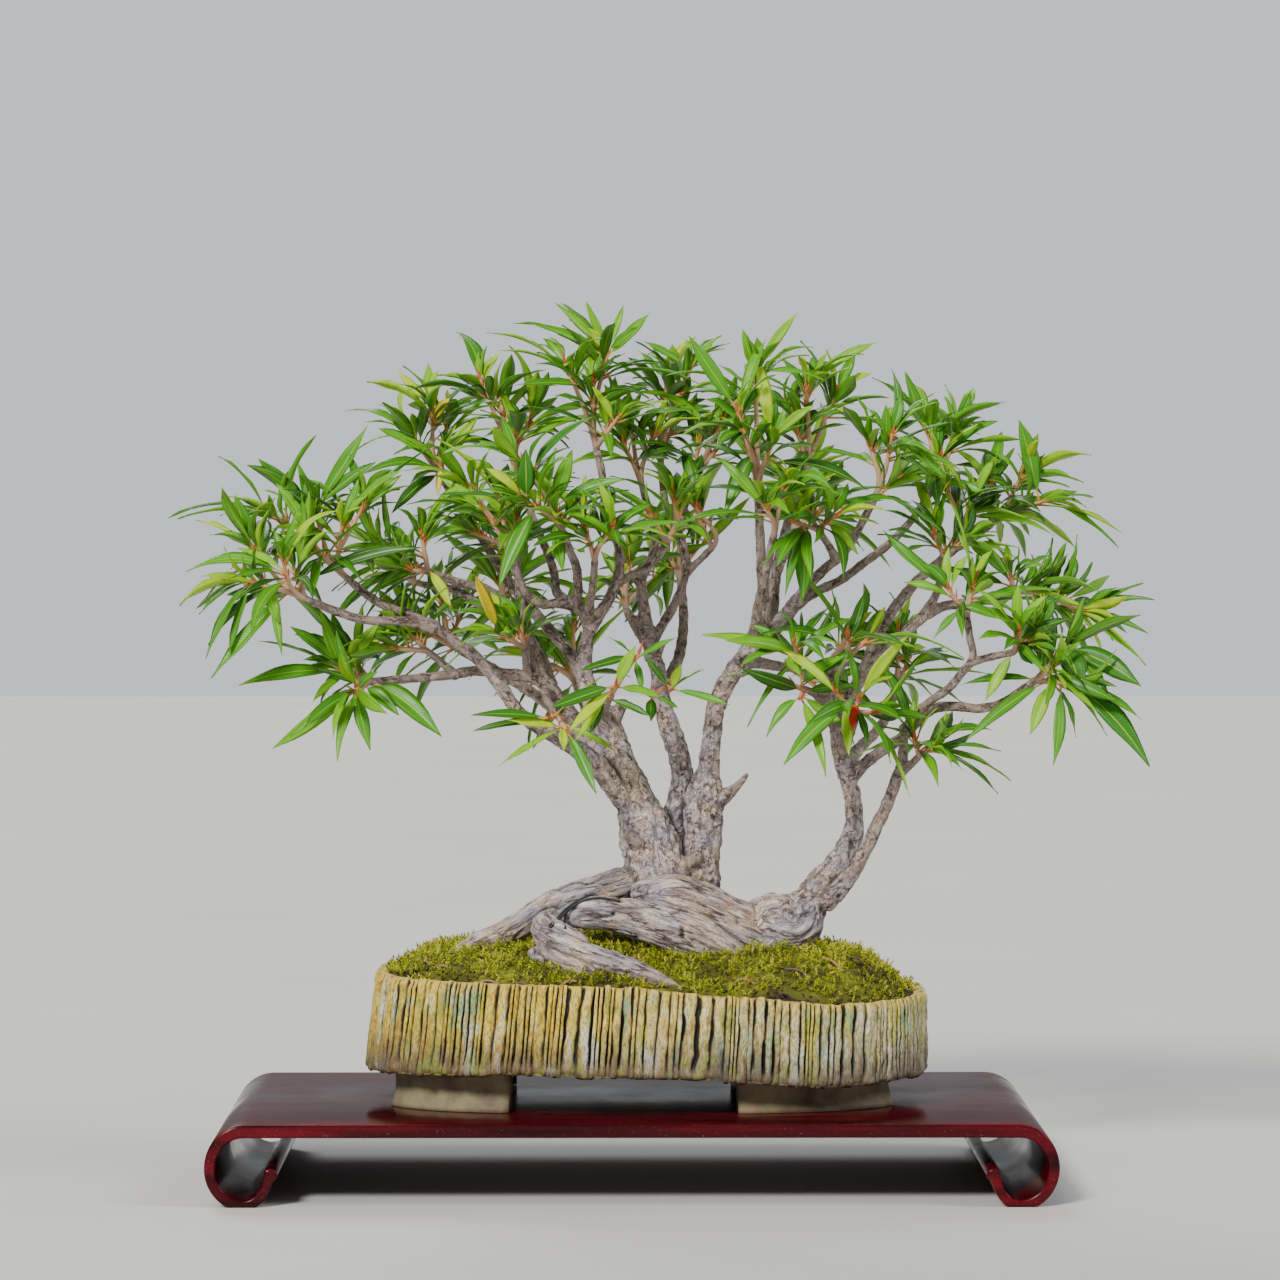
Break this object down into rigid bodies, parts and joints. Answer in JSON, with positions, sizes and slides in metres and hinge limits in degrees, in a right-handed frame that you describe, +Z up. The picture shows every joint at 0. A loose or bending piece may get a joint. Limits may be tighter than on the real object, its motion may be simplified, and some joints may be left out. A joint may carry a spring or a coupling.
{
  "type": "potted bonsai tree on a stand",
  "caption": "Narrow-leaved bonsai with fused trunks and spread roots in an oval bark-textured clay tray, on a low lacquered stand with scrolled ends.",
  "frame": {"origin": "under the middle of the whole object, on the surface that the stand rests on", "axes": "+X to the right along the stand, +Y towards the back, +Z up"},
  "size_m": [0.6794, 0.3806, 0.623],
  "materials": {
    "lacquer": "dark red gloss lacquer",
    "clay": "matt mottled glaze on fired clay",
    "soil": "damp crumbly earth",
    "moss": "short soft moss",
    "bark": "dry grey-beige bark",
    "wire": "matt black coating",
    "foliage": "smooth semi-gloss leaf"
  },
  "bodies": {
    "root": {"stand_board": "lacquer", "stand_scroll_left": "lacquer", "stand_scroll_right": "lacquer", "pot": "clay", "soil": "soil", "moss": "moss", "tree": "bark", "tie_wire": "wire", "spray_a01": "foliage", "spray_a02": "foliage", "spray_a03": "foliage", "spray_a04": "foliage", "spray_a05": "foliage", "spray_a06": "foliage", "spray_a07": "foliage", "spray_a08": "foliage", "spray_a09": "foliage", "spray_a10": "foliage", "spray_a11": "foliage", "spray_a12": "foliage", "spray_a13": "foliage", "spray_a14": "foliage", "spray_a15": "foliage", "spray_a16": "foliage", "spray_b01": "foliage", "spray_b02": "foliage", "spray_b03": "foliage", "spray_b04": "foliage", "spray_b05": "foliage", "spray_b06": "foliage", "spray_b07": "foliage", "spray_b08": "foliage", "spray_c01": "foliage", "spray_c02": "foliage", "spray_c03": "foliage", "spray_c04": "foliage", "spray_c05": "foliage", "spray_c06": "foliage", "spray_c07": "foliage", "spray_c08": "foliage", "spray_d01": "foliage", "spray_d02": "foliage", "spray_d03": "foliage", "spray_d04": "foliage", "spray_d05": "foliage", "spray_d06": "foliage", "spray_d07": "foliage", "spray_d08": "foliage", "spray_d09": "foliage", "spray_d10": "foliage", "spray_d11": "foliage", "spray_d12": "foliage", "spray_d13": "foliage", "spray_d14": "foliage", "spray_e01": "foliage", "spray_e02": "foliage", "spray_e03": "foliage"}
  },
  "joints": []
}
